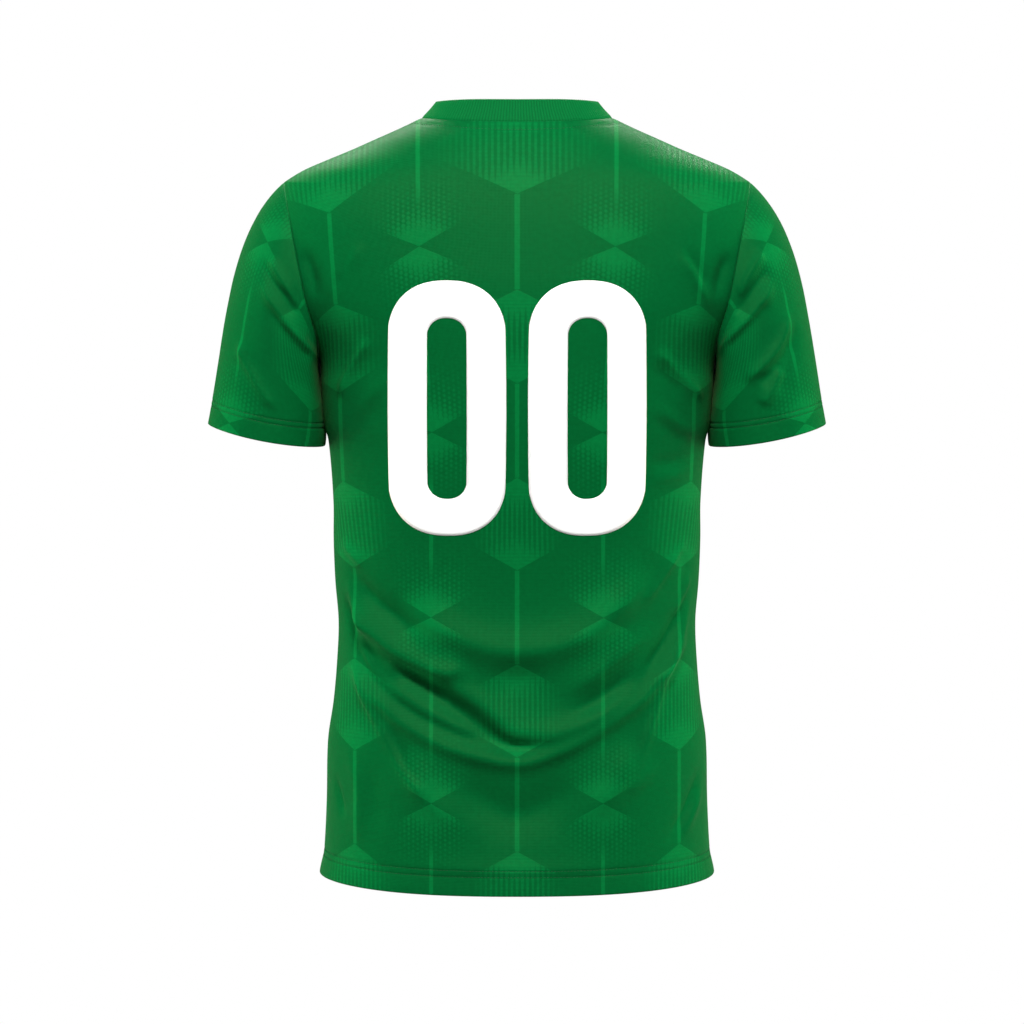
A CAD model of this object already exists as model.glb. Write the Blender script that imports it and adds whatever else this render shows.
import math
from functools import partial

import bpy
import numpy as np
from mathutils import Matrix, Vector, noise
from mathutils.bvhtree import BVHTree


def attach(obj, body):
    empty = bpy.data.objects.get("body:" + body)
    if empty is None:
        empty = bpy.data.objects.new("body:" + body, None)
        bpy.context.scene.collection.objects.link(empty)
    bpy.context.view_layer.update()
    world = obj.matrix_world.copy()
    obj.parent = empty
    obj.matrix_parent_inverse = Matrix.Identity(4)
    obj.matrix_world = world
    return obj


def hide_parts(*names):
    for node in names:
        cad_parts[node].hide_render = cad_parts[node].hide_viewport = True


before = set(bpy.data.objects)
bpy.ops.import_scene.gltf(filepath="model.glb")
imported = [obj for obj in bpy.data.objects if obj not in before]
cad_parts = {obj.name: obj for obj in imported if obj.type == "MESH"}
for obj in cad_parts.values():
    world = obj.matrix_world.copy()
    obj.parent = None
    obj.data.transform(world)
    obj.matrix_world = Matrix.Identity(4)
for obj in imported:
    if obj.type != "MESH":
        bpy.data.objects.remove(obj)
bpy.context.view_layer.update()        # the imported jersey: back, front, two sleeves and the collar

# Football jersey seen from behind, filled out as if worn.
# Metres, +Z up, the front faces -Y, the wearer's left arm is at +X.
# The origin is level with the two high shoulder points, on the mid-plane.


def table(names, rows):
    columns = np.array(rows, dtype=float).T
    return dict(zip(names.split(), columns))


cloth = {
    "thickness": 0.0009,
    "seamDip": 0.00025,       # how far the cloth is drawn in at a seam
    "seamWidth": 0.0016,
    "seamGap": -0.0001,       # the edges of two panels just overlap
    "looseness": 0.00022,     # slight unevenness of the surface, and its size
    "loosenessSize": 0.045,
    "loosenessFade": 0.02,    # none at a seam, and all of it this far away
    "fineShare": 0.5,         # a finer unevenness on top, against the first
    "fineSize": 0.4,
    "backSeed": 3.1,
    "frontSeed": 7.4,
    "sleeveSeed": 11.3,
}

body = {
    "hemLevel": -0.722,
    "backHemDrop": 0.005,
    "backHemDropStart": -0.56,
    "neckLevel": 0.002,
    "neckHalfWidth": 0.091,
    "frontNeckDrop": 0.074,
    "frontNeckRoundness": 2.1,
    "frontNeckSteepness": 0.75,
    "neckBlendHeight": 0.088,
    "armpitLevel": -0.226,
    "shoulderTipLevel": -0.059,
    "armholeHalfDepth": 0.064,
    "armholeLowFullness": 0.12,
    "wideningFade": 4,
    "backColumns": 148,
    "frontColumns": 128,
    "cellHeight": 0.0034,
    "armholeRows": 68,
    "shoulderRows": 36,
    "foldStrength": 1.4,
    "foldFadeAcross": 0.78,   # beside an armhole the folds fade from this share of the width
    "foldFadeBelow": 0.03,    # and from this far below the armpit
    "foldFadeNeck": 0.0366,
    "backNeckDrop": 0.0030,
    "backNeckBlend": 0.030,
    "hemFlare": 0.0020,
    "hemFlareStart": -0.699,
}

# Body sections from the hem up: half width at the side seam, depth of back and front, squareness.
bodySections = table("level halfWidth back front squareness", [
    (-0.735, 0.1900, 0.1190, 0.1070, 2.30),
    (-0.700, 0.1860, 0.1180, 0.1055, 2.30),
    (-0.652, 0.1835, 0.1150, 0.1050, 2.32),
    (-0.594, 0.1820, 0.1105, 0.1055, 2.35),
    (-0.556, 0.1765, 0.1070, 0.1065, 2.35),
    (-0.517, 0.1730, 0.1045, 0.1080, 2.35),
    (-0.479, 0.1715, 0.1030, 0.1090, 2.35),
    (-0.440, 0.1745, 0.1040, 0.1105, 2.35),
    (-0.400, 0.1760, 0.1065, 0.1120, 2.35),
    (-0.364, 0.1760, 0.1095, 0.1130, 2.35),
    (-0.306, 0.1805, 0.1145, 0.1150, 2.35),
    (-0.288, 0.1853, 0.1158, 0.1153, 2.33),
    (-0.256, 0.1878, 0.1173, 0.1155, 2.31),
    (-0.226, 0.1900, 0.1180, 0.1150, 2.30),
    (-0.200, 0.2050, 0.1178, 0.1130, 2.28),
    (-0.175, 0.2250, 0.1165, 0.1100, 2.27),
    (-0.150, 0.2400, 0.1140, 0.1058, 2.25),
    (-0.120, 0.2500, 0.1090, 0.0985, 2.23),
    (-0.095, 0.2500, 0.1040, 0.0915, 2.22),
    (-0.076, 0.2400, 0.0990, 0.0855, 2.21),
    (-0.066, 0.2310, 0.0958, 0.0822, 2.20),
    (-0.059, 0.2220, 0.0933, 0.0797, 2.20),
    (-0.0475, 0.2030, 0.0885, 0.0750, 2.18),
    (-0.0375, 0.1800, 0.0830, 0.0710, 2.17),
    (-0.028, 0.1570, 0.0770, 0.0670, 2.16),
    (-0.018, 0.1345, 0.0700, 0.0620, 2.15),
    (-0.0085, 0.1130, 0.0620, 0.0570, 2.15),
    (0.002, 0.0910, 0.0520, 0.0500, 2.15),
])

# Seam between panel and sleeve: how far out it lies at each level.
armholeSeam = table("level across", [
    (-0.226, 0.1900), (-0.215, 0.1888), (-0.205, 0.1895), (-0.196, 0.1920), (-0.172, 0.1990),
    (-0.143, 0.2050), (-0.111, 0.2115), (-0.082, 0.2175), (-0.059, 0.2220),
])

printLayout = {
    "columnPitch": 0.083,     # from one upright line of the print to the next, on the cloth
    "yokeStart": -0.10,       # between these levels the lines turn to run straight up
    "yokeFull": -0.06,
    "facingStart": 0.35,      # lines are kept straight where the cloth faces back or front this much
    "facingFull": 0.80,
}

# Where the printed columns run: their distance from the mid-plane at each level,
# and how much lower the outer one prints than the middle.
printFit = table("level near far drop", [
    (-0.722, 0.0810, 0.154, -0.001), (-0.596, 0.0810, 0.154, -0.001), (-0.511, 0.0810, 0.154, 0.000),
    (-0.430, 0.0810, 0.154, 0.002), (-0.340, 0.0805, 0.165, 0.008), (-0.289, 0.0800, 0.167, 0.011),
    (-0.200, 0.0860, 0.168, 0.014), (-0.111, 0.0920, 0.175, 0.018), (0.000, 0.0940, 0.182, 0.020),
])

foldShape = {
    "reach": 3.2,             # in half widths
    "upperBlend": 0.3,        # how gradually the upper side takes over from the lower one
    "crestRoundness": 0.05,
    "flank": 0.75,
    "falloff": 0.6,
}


def foldAlong(line, width, rise, above=1, ends=0.38, half=1):
    # In millimetres: line runs along a fold's crest or bottom as (across, level), width is its half width,
    # and rise is how far it stands out or, below zero, sinks in. above stretches its upper side, ends is
    # the share of the line over which each end fades, and half=-1 is the front half of a sleeve.
    metres = {"line": np.array(line) / 1000, "width": width / 1000, "rise": rise / 1000}
    return dict(metres, above=above, ends=ends, half=half)


backFolds = [
    # the wide swag below the waist, and the hollow under it
    foldAlong([(112, -449), (82, -469), (49, -488), (11, -498), (-26, -496), (-59, -485), (-84, -467),
               (-108, -443), (-132, -424)], 12.5, 8, above=1.3, ends=0.2),
    foldAlong([(30, -520), (0, -524), (-34, -518)], 14, -3),
    # the left swag and the dark trough above it
    foldAlong([(160, -451), (146, -474), (129, -488), (110, -502), (86, -514), (63, -518), (42, -511)],
               5.6, 7.4, above=2.0, ends=0.2),
    foldAlong([(164, -412), (150, -436), (138, -451), (119, -465), (99, -477), (80, -481)],
               6.5, -4.8, above=1.1),
    foldAlong([(168, -396), (156, -410), (144, -422)], 3.5, 2.2),
    # the deep fold that runs from the left down to the middle: its lip, then its bottom
    foldAlong([(92, -516), (70, -525), (50, -538), (31, -551), (16, -566), (4, -576), (-18, -580),
               (-42, -574), (-68, -563), (-100, -542), (-118, -524)], 5.6, 4.6, above=1.8, ends=0.2),
    foldAlong([(121, -512), (100, -524), (78, -538), (54, -556), (30, -573), (12, -584), (-12, -586),
               (-40, -579)], 6.5, -6.2, ends=0.16),
    # the long thin ridge across the back, with the finer one over it on the left
    foldAlong([(164, -498), (155, -521), (140, -542), (124, -554), (110, -566), (82, -582), (54, -593),
               (25, -600), (-3, -603), (-31, -596), (-59, -584), (-87, -567), (-116, -547), (-134, -526),
               (-149, -502), (-161, -469), (-167, -436)], 4.8, 4.8, above=1.5, ends=0.16),
    foldAlong([(157, -488), (146, -512), (133, -528), (119, -540), (101, -554), (77, -567), (49, -579),
               (25, -590)], 2.6, -2.2, ends=0.16),
    foldAlong([(149, -488), (136, -515), (121, -532), (105, -543), (82, -556), (54, -568), (25, -579)],
               5, 3, above=1.4, ends=0.16),
    foldAlong([(148, -474), (140, -498), (131, -517), (119, -529), (106, -538)], 4.5, -3.2, above=1.2),
    foldAlong([(166, -445), (159, -474), (150, -500)], 5, -3),
    # thin creases that catch the light at both sides
    foldAlong([(163, -435), (155, -456), (147, -473), (136, -494)], 3.2, 1.6, ends=0.25),
    foldAlong([(150, -535), (140, -555), (131, -569)], 2.8, 1.2, ends=0.25),
    foldAlong([(-165, -430), (-158, -448), (-148, -471)], 3, 1.4, ends=0.25),
    foldAlong([(-162, -488), (-152, -504), (-141, -519), (-126, -532)], 3.4, 1.8, ends=0.25),
    # the short folds at the right
    foldAlong([(-163, -394), (-153, -408), (-139, -427), (-125, -446), (-114, -457)], 3.2, 2.2),
    foldAlong([(-166, -436), (-155, -465), (-146, -484), (-136, -500), (-125, -515), (-114, -533)],
               4.8, -4.4, above=1.1),
    foldAlong([(-30, -540), (-62, -527), (-87, -509), (-111, -491), (-132, -472)], 7, 4.6, above=1.6),
    foldAlong([(-40, -560), (-69, -548), (-92, -534), (-116, -515)], 5.8, -4.2),
    foldAlong([(-153, -488), (-142, -517), (-134, -545), (-127, -569), (-120, -592), (-110, -618)],
               3.2, 2.4),
    foldAlong([(-134, -602), (-124, -615), (-112, -626), (-94, -632)], 4.2, 1.3, above=1.3),
    foldAlong([(-150, -400), (-158, -418), (-164, -432)], 4, -0.9),
    # the wide hollow under the ridge and the soft swells on both sides of it
    foldAlong([(86, -604), (46, -630), (2, -652), (-40, -634), (-76, -606)], 18, -7.5),
    foldAlong([(112, -590), (102, -612), (88, -634), (62, -654), (22, -674)], 11, 4.6, above=1.5),
    foldAlong([(-112, -580), (-104, -604), (-92, -628), (-70, -646), (-36, -666)], 11, 4.6, above=1.5),
    foldAlong([(155, -512), (146, -540), (133, -566), (121, -588), (110, -609), (96, -625), (84, -638)],
               3.2, 2.4, ends=0.16),
    foldAlong([(126, -566), (114, -590), (102, -612), (88, -630)], 5, -1.8),
    # side folds above the hem
    foldAlong([(166, -585), (156, -611), (150, -640), (151, -668), (142, -690)], 7, 2),
    foldAlong([(175, -621), (169, -644), (164, -665)], 3.4, -2.2),
    foldAlong([(138, -600), (136, -640), (128, -676)], 9, -1.2),
    foldAlong([(-175, -612), (-167, -640), (-155, -664), (-138, -684)], 4.2, -3),
    foldAlong([(-178, -630), (-168, -656), (-156, -680)], 4.6, 2.2),
    foldAlong([(140, -700), (60, -703), (0, -704), (-60, -703), (-140, -699)], 4.5, 1.6, above=1.3),
    # pulls that run from the armholes
    foldAlong([(143, -112), (156, -130), (168, -147), (181, -168)], 4.2, 2.8, ends=0.4),
    foldAlong([(150, -117), (160, -134), (168, -149), (176, -162)], 3.6, -3, ends=0.4),
    foldAlong([(204, -118), (196, -142), (189, -172)], 7, -3.4),
    foldAlong([(138, -202), (154, -230), (170, -261)], 3.8, 3, ends=0.2),
    foldAlong([(119, -236), (136, -256), (154, -282)], 5, 1.4),
    foldAlong([(124, -255), (143, -281), (162, -312)], 7, -1.4),
    foldAlong([(-147, -119), (-159, -134), (-168, -149), (-176, -164), (-184, -183)], 3.8, 3, ends=0.36),
    foldAlong([(-154, -116), (-166, -132), (-175, -147), (-182, -163)], 3.4, -2.4),
    foldAlong([(-202, -122), (-194, -144), (-188, -172)], 7, -3.4),
    foldAlong([(-128, -212), (-146, -231), (-162, -248), (-178, -266)], 4, 3, ends=0.2),
    foldAlong([(-126, -226), (-142, -243), (-158, -260)], 4.4, -1.4),
    foldAlong([(-122, -262), (-143, -278), (-158, -290), (-173, -303)], 4.2, 2),
    foldAlong([(-126, -276), (-145, -292), (-160, -305)], 5, -1.4),
    foldAlong([(-122, -322), (-143, -322), (-166, -317)], 5, -1.4),
    foldAlong([(-122, -334), (-144, -335), (-168, -331)], 5, 1.2),
]

frontFolds = [
    foldAlong([(172, -396), (148, -430), (112, -464), (52, -484)], 15, -5),
    foldAlong([(-172, -412), (-142, -446), (-106, -472), (-44, -490)], 14, -5),
    foldAlong([(166, -420), (140, -452), (100, -476), (50, -496), (-10, -500)], 7, 4.6, above=1.7),
    foldAlong([(-166, -436), (-134, -466), (-96, -484), (-52, -492)], 6.5, 4.2, above=1.6),
    foldAlong([(162, -452), (132, -492), (80, -530), (-6, -552)], 8.5, 6, above=1.5),
    foldAlong([(156, -476), (124, -510), (78, -545), (10, -566)], 6.5, -5.2),
    foldAlong([(-164, -468), (-132, -508), (-88, -544), (-14, -566)], 7.5, 5.4, above=1.6),
    foldAlong([(-158, -494), (-122, -530), (-80, -560), (-26, -578)], 6, -4.6),
    foldAlong([(148, -520), (112, -560), (62, -592), (10, -604), (-40, -598), (-90, -578), (-130, -546),
               (-156, -506)], 5, 4.4, above=1.6, ends=0.16),
    foldAlong([(128, -556), (94, -590), (44, -618), (-20, -634), (-70, -616)], 16, -6),
    foldAlong([(118, -592), (98, -626), (66, -652), (20, -668)], 11, 4, above=1.4),
    foldAlong([(-116, -588), (-98, -622), (-70, -650), (-30, -664)], 11, 4, above=1.4),
    foldAlong([(-140, -560), (-122, -592), (-98, -618), (-52, -646)], 6, -3.2),
    foldAlong([(152, -506), (140, -548), (122, -590), (106, -622)], 3.4, 2.4),
    foldAlong([(-150, -522), (-138, -560), (-124, -598)], 3.4, 2.4),
    # pulls from the armholes over the chest
    foldAlong([(158, -128), (152, -156), (140, -184), (120, -214)], 8, -4.2),
    foldAlong([(166, -124), (162, -156), (150, -190), (134, -220)], 5, 2.8),
    foldAlong([(-160, -124), (-155, -150), (-144, -178), (-126, -204)], 8, -4.2),
    foldAlong([(-168, -122), (-164, -152), (-154, -184), (-138, -212)], 5, 2.8),
    foldAlong([(202, -120), (194, -146), (186, -176)], 8, -3.6),
    foldAlong([(-202, -118), (-195, -144), (-187, -174)], 8, -3.6),
    foldAlong([(168, -232), (140, -250), (104, -262)], 6, 2.6, above=1.2),
    foldAlong([(-166, -240), (-138, -256), (-106, -266)], 6, 2.6, above=1.2),
    foldAlong([(162, -264), (134, -284), (100, -296)], 7, -2.4),
    foldAlong([(-162, -272), (-132, -290), (-102, -300)], 7, -2.4),
    foldAlong([(74, -150), (34, -170), (-16, -178), (-60, -166)], 13, 2.8),
    foldAlong([(168, -590), (154, -628), (156, -690)], 8, -3.4),
    foldAlong([(-166, -584), (-154, -634), (-160, -694)], 8, -3.4),
    foldAlong([(150, -590), (140, -634), (138, -684)], 7, 3),
    foldAlong([(-150, -590), (-138, -636), (-142, -686)], 7, 3),
    foldAlong([(140, -700), (60, -702), (-60, -702), (-140, -700)], 4.5, 1.6, above=1.3),
]

hem = {
    "turnUp": 0.024,          # the hem is turned up inside by this much
    "foldRadius": 0.0012,
    "stitchLines": (0.0170, 0.0230),
    "grooveDepth": 0.0005,
    "grooveWidth": 0.0009,
}

sleeve = {
    "cuffAcross": 0.2398,
    "cuffLevel": -0.2995,
    "cuffHalfBreadth": 0.0572,
    "cuffHalfDepth": 0.059,
    "cuffTilt": math.radians(10.8),
    "cuffSag": 0.0025,
    "columns": 176,
    "middleRows": 88,
    "gap": 0.00005,
    "stitchLines": (0.0170, 0.0220),
    "turnUp": 0.023,
    "armRadius": 0.057,
    "trackSteps": 241,
    "printTurn": math.radians(52),   # a printed node column runs here, round from the top to the back
    "printLevel": -0.297,
    "printLean": 0.0208,
    "halfStart": 0.002,       # the back and front halves start this far from the middle
    "foldEnds": 0.20,         # here the share of a fold over which each end of it fades
    "foldStrength": 1.6,      # ridges on a sleeve are this much stronger than its troughs
    "foldStart": (0.02, 0.16),    # the folds grow between these shares of the sleeve's length
}

# How the sleeve leaves the armhole, round the arm from the top by way of the back.
sleeveStart = table("around out toBack down reach endReach", [
    (0, 0.75, 0.00, 0.66, 0.214, 0.300),
    (90, 0.80, 0.22, 0.58, 0.120, 0.190),
    (180, -0.04, 0.00, 0.99, 0.080, 0.060),
    (270, 0.80, -0.22, 0.58, 0.120, 0.190),
    (360, 0.75, 0.00, 0.66, 0.214, 0.300),
])

leftSleeveFolds = [
    foldAlong([(234, -128), (223, -148), (213, -163), (200, -181)], 3.6, 3.2),
    foldAlong([(245, -128), (230, -150), (217, -167), (203, -185)], 4.8, -3.8),
    foldAlong([(242, -150), (230, -172), (216, -193), (202, -210), (190, -227)], 4, 3.4),
    foldAlong([(236, -170), (221, -194), (206, -213), (195, -226)], 4.6, -3.4),
    foldAlong([(265, -206), (258, -226), (249, -243), (239, -260), (225, -275)], 4, 2.8),
    foldAlong([(262, -216), (253, -240), (242, -258), (226, -276)], 5, -1.8),
    foldAlong([(209, -152), (199, -172), (192, -192), (187, -214)], 5, -4),
    foldAlong([(248, -126), (234, -152), (217, -176), (203, -196)], 6, -4, half=-1),
    foldAlong([(240, -122), (225, -146), (211, -166)], 4.2, 3, half=-1),
    foldAlong([(256, -166), (244, -196), (226, -224), (208, -244)], 4.4, 3.4, half=-1),
    foldAlong([(250, -184), (236, -212), (216, -236)], 5.2, -3.4, half=-1),
    foldAlong([(264, -206), (256, -234), (240, -262)], 4.4, 2.6, half=-1),
    foldAlong([(208, -150), (198, -174), (190, -200)], 5, -3.6, half=-1),
]

rightSleeveFolds = [
    foldAlong([(-232, -122), (-224, -136), (-214, -152), (-206, -168)], 3.8, 3.2),
    foldAlong([(-238, -136), (-226, -154), (-214, -170), (-204, -184)], 4.8, -3.6),
    foldAlong([(-243, -146), (-231, -170), (-217, -188), (-203, -203), (-191, -220)], 4.2, 3.6),
    foldAlong([(-238, -168), (-224, -186), (-210, -202), (-196, -218)], 4.6, -3.6),
    foldAlong([(-257, -178), (-251, -203), (-242, -219), (-230, -233), (-214, -248)], 4.2, 3),
    foldAlong([(-262, -200), (-253, -222), (-240, -238), (-228, -250)], 5, -3),
    foldAlong([(-265, -190), (-262, -214), (-256, -238), (-246, -262)], 5, -2.4),
    foldAlong([(-250, -232), (-242, -252), (-230, -270)], 4.6, 2.2),
    foldAlong([(-208, -152), (-198, -172), (-192, -192), (-187, -214)], 5, -4),
    foldAlong([(-246, -128), (-232, -154), (-216, -178), (-204, -196)], 6, -4, half=-1),
    foldAlong([(-239, -124), (-224, -150), (-210, -170)], 4.2, 3, half=-1),
    foldAlong([(-258, -170), (-246, -200), (-228, -226), (-210, -242)], 4.4, 3.2, half=-1),
    foldAlong([(-252, -188), (-238, -214), (-218, -236)], 5.2, -3.2, half=-1),
    foldAlong([(-262, -214), (-252, -244), (-236, -268)], 4.4, 2.4, half=-1),
    foldAlong([(-208, -150), (-198, -174), (-190, -200)], 5, -3.6, half=-1),
]

collar = {
    "heightAtMiddle": 0.020,
    "heightAtShoulder": 0.015,
    "leanIn": 0.014,
    "bulge": -0.0006,
    "wall": 0.0024,
    "ribs": 200,
    "samplesPerRib": 8,
    "ribDepth": 0.00028,
    "ribStart": 0.16,         # the ribs reach their full depth at this share of the height
    "gap": 0.0003,
    "loops": 9,
    "neckSteps": 2400,
    "inwardDepth": 1.6,       # the band leans in more at the back and front than at the shoulders
    "footIn": 0.0009,         # the rounded lower edge
    "footDown": 0.0004,
    "knitClimb": 45,
}

number = {
    "centreAcross": 0.0657,
    "centreLevel": -0.2685,
    "halfWidth": 0.0556,
    "halfHeight": 0.1198,
    "counterHalfWidth": 0.0187,
    "counterHalfHeight": 0.0850,
    "endHeight": 0.057,       # height of the rounded ends
    "endStart": 0.22,
    "squareness": 2.35,
    "counterSquareness": 2.2,
    "lift": 0.00025,
    "film": 0.0002,
    "castFrom": 0.4,          # the outline is laid on the back from this far behind
    "stepsRound": 260,
    "stepsAcross": 13,
}

stitch = {
    "pitch": 0.0031,
    "length": 0.0024,
    "radius": 0.00022,
    "sides": 5,
    "stations": ((-0.62, 0.75), (0, 1), (0.62, 0.75)),    # rings along a stitch: place and size
    "tipSink": 0.0003,
    "standOut": 0.00025,
}

collarSeam = {
    "backStitchDrop": 0.0105,     # from the neck edge to the line of stitches below the collar
    "frontStitchDrop": 0.0055,
    "standOut": 0.0001,
    "grooveStrength": 1.2,
}

print("jersey: settings read")


def smoothStep(start, end, x):
    t = np.clip((x - start) / (end - start), 0, 1)
    return t * t * (3 - 2 * t)


def curveThrough(rows, key, name):
    xs = rows[key]
    ys = rows[name]
    slopes = np.empty(len(xs))
    slopes[1:-1] = (ys[2:] - ys[:-2]) / (xs[2:] - xs[:-2])
    slopes[0] = (ys[1] - ys[0]) / (xs[1] - xs[0])
    slopes[-1] = (ys[-1] - ys[-2]) / (xs[-1] - xs[-2])

    def at(x):
        x = np.clip(x, xs[0], xs[-1])
        i = np.clip(np.searchsorted(xs, x, side="right") - 1, 0, len(xs) - 2)
        span = xs[i + 1] - xs[i]
        t = (x - xs[i]) / span
        u = 1 - t
        ends = ys[i] * (1 + 2 * t) * u * u + ys[i + 1] * (1 + 2 * u) * t * t
        return ends + slopes[i] * span * t * u * u - slopes[i + 1] * span * u * t * t

    return at


halfWidth = curveThrough(bodySections, "level", "halfWidth")
backDepth = curveThrough(bodySections, "level", "back")
frontDepth = curveThrough(bodySections, "level", "front")
squareness = curveThrough(bodySections, "level", "squareness")
armholeAcross = curveThrough(armholeSeam, "level", "across")


def armholeDepth(level):
    middle = (body["armpitLevel"] + body["shoulderTipLevel"]) / 2
    half = (body["shoulderTipLevel"] - body["armpitLevel"]) / 2
    rise = np.clip((level - middle) / half, -1, 1)
    return body["armholeHalfDepth"] * np.sqrt(1 - rise * rise) * (1 - body["armholeLowFullness"] * rise)


def sectionShape(side, level):
    # what one section keeps the same all round
    depth = backDepth(level) if side > 0 else frontDepth(level)
    power = 2 / squareness(level)
    edge = np.arcsin(np.minimum((armholeDepth(level) / depth) ** (1 / power), 1))
    opening = np.where(armholeDepth(level) > 1e-9, armholeAcross(level), halfWidth(level))
    widening = opening - halfWidth(level) * np.cos(edge) ** power
    return {"half": halfWidth(level), "depth": depth, "power": power, "edge": edge, "widening": widening}


def sectionPoint(side, shape, angle):
    turn = np.maximum(np.cos(angle), 0)
    nearEdge = (turn / np.cos(shape["edge"])) ** body["wideningFade"]
    x = shape["half"] * turn ** shape["power"] + shape["widening"] * nearEdge
    y = side * shape["depth"] * np.maximum(np.sin(angle), 0) ** shape["power"]
    return x, y


def onBody(side, across, level):
    # the place on the section that lies a given distance from the mid-plane
    across, level = np.broadcast_arrays(np.asarray(across, float), np.asarray(level, float))
    shape = sectionShape(side, level)
    low = shape["edge"] * np.ones_like(across)
    high = np.full_like(low, math.pi / 2)
    for _ in range(26):
        middle = (low + high) / 2
        x, _y = sectionPoint(side, shape, middle)
        outside = x > np.abs(across)
        low = np.where(outside, middle, low)
        high = np.where(outside, high, middle)
    x, y = sectionPoint(side, shape, low)
    return np.stack([np.minimum(np.abs(across), x) * np.sign(across), y, level], axis=-1)


def panelPoints(side, across, levels):
    # across runs from 1 at the wearer's left edge to -1 at the right
    level = levels[:, None] * np.ones_like(across)[None, :]
    away = np.abs(across)[None, :]
    shape = sectionShape(side, level)
    angle = (1 - away) * math.pi / 2 + shape["edge"] * away ** 2
    x, y = sectionPoint(side, shape, angle)
    widest, _y = sectionPoint(side, shape, shape["edge"])
    share = np.minimum(x / widest, 1)
    if side > 0:
        low = smoothStep(body["backHemDropStart"], body["hemLevel"], level)
        sink = body["backHemDrop"] * (1 - share ** 3) * low
        blend = smoothStep(body["neckLevel"] - body["backNeckBlend"], body["neckLevel"], level)
        sink = sink + body["backNeckDrop"] * (1 - share ** 2) * blend
    else:
        blend = np.maximum(level - body["neckLevel"] + body["neckBlendHeight"], 0) / body["neckBlendHeight"]
        curve = np.maximum(1 - share ** body["frontNeckRoundness"], 0) ** body["frontNeckSteepness"]
        sink = body["frontNeckDrop"] * curve * blend
    points = np.stack([x * np.sign(across)[None, :], y, level], axis=-1)
    moved = sink > 0
    points[moved] = onBody(side, points[moved][:, 0], (level - sink)[moved])
    return points


def gridNormals(points):
    rise = np.gradient(points, axis=0)
    turn = np.gradient(points, axis=1)
    normals = np.cross(turn, rise)
    return normals / np.maximum(np.linalg.norm(normals, axis=-1, keepdims=True), 1e-12)


def smoothLine(points, steps=5):
    # a curve through all the points, with their neighbours' slopes
    points = np.array(points, dtype=float)
    slopes = np.gradient(points, axis=0)
    curve = []
    for k in range(len(points) - 1):
        for t in np.linspace(0, 1, steps, endpoint=False):
            u = 1 - t
            ends = points[k] * (1 + 2 * t) * u * u + points[k + 1] * (1 + 2 * u) * t * t
            curve.append(ends + slopes[k] * t * u * u - slopes[k + 1] * u * t * t)
    curve.append(points[-1])
    return np.array(curve)


def foldRelief(points, path, fold):
    # full along the middle of the path and faded at both ends
    s = foldShape
    stretch = fold["above"]
    reach = s["reach"] * fold["width"] * max(stretch, 1)
    inside = np.all((points > path.min(axis=0) - reach) & (points < path.max(axis=0) + reach), axis=-1)
    near = points[inside]
    nearest = np.full(len(near), np.inf)
    place = np.zeros(len(near))
    above = np.zeros(len(near))
    for k in range(len(path) - 1):
        along = path[k + 1] - path[k]
        toPoint = near - path[k]
        t = np.clip(toPoint @ along / (along @ along), 0, 1)
        gap = toPoint - t[:, None] * along
        distance = np.linalg.norm(gap, axis=1)
        closer = distance < nearest
        nearest[closer] = distance[closer]
        place[closer] = (k + t[closer]) / (len(path) - 1)
        above[closer] = gap[closer, 2] / np.maximum(distance[closer], 1e-6)
    width = fold["width"] * (1 + (stretch - 1) * smoothStep(-s["upperBlend"], s["upperBlend"], above))
    ends = fold["ends"]
    fade = np.minimum(smoothStep(0, ends, place), smoothStep(1, 1 - ends, place))
    relief = np.zeros(points.shape[:-1])
    crest = s["crestRoundness"]
    steep = ((nearest / width) ** 2 + crest) ** s["flank"] - crest ** s["flank"]
    relief[inside] = fold["rise"] * fade * np.exp(-s["falloff"] * steep)
    return relief


def alongGrid(points, axis):
    steps = np.linalg.norm(np.diff(points, axis=axis), axis=-1)
    lead = [(0, 0), (0, 0)]
    lead[axis] = (1, 0)
    return np.pad(np.cumsum(steps, axis=axis), lead)


def runAlong(path):
    return np.concatenate([[0], np.cumsum(np.linalg.norm(np.diff(path, axis=0), axis=1))])


def pointsAt(places, run, path):
    return np.stack([np.interp(places, run, path[:, k]) for k in range(3)], axis=-1)


def seamDip(distance):
    return -cloth["seamDip"] * np.exp(-(distance / cloth["seamWidth"]) ** 2)


def grooves(distance, lines):
    return sum(-hem["grooveDepth"] * np.exp(-((distance - line) / hem["grooveWidth"]) ** 2) for line in lines)


def looseness(points, seed, *seamDistances):
    size = cloth["loosenessSize"]
    fine = size * cloth["fineSize"]
    shift = Vector((seed, seed * 1.7, 0))
    values = []
    for place in points.reshape(-1, 3):
        p = Vector(place)
        values.append(noise.noise(p / size + shift) + cloth["fineShare"] * noise.noise(p / fine + shift))
    loose = cloth["looseness"] * np.array(values).reshape(points.shape[:-1])
    for distance in seamDistances:
        loose = loose * smoothStep(0, cloth["loosenessFade"], distance)
    return loose


def turnedUp(points, turnUp, radius):
    # rows for cloth turned up inside, from the first row, which is the edge, and how far each is below it
    normals = gridNormals(points)
    height = alongGrid(points, 0).mean(axis=1)
    inner = [i for i in range(len(height)) if height[i] <= turnUp][::-1]
    up = points[1] - points[0]
    up /= np.linalg.norm(up, axis=-1, keepdims=True)
    rows = [points[i] - 2 * radius * normals[i] for i in inner]
    drops = [-height[i] for i in inner]
    for angle in np.linspace(0, math.pi, 7)[1:-1]:
        rows.append(points[0] - radius * (1 + math.cos(angle)) * normals[0] - radius * math.sin(angle) * up)
        drops.append(-radius * math.sin(angle))
    return np.array(rows), np.array(drops)


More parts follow.
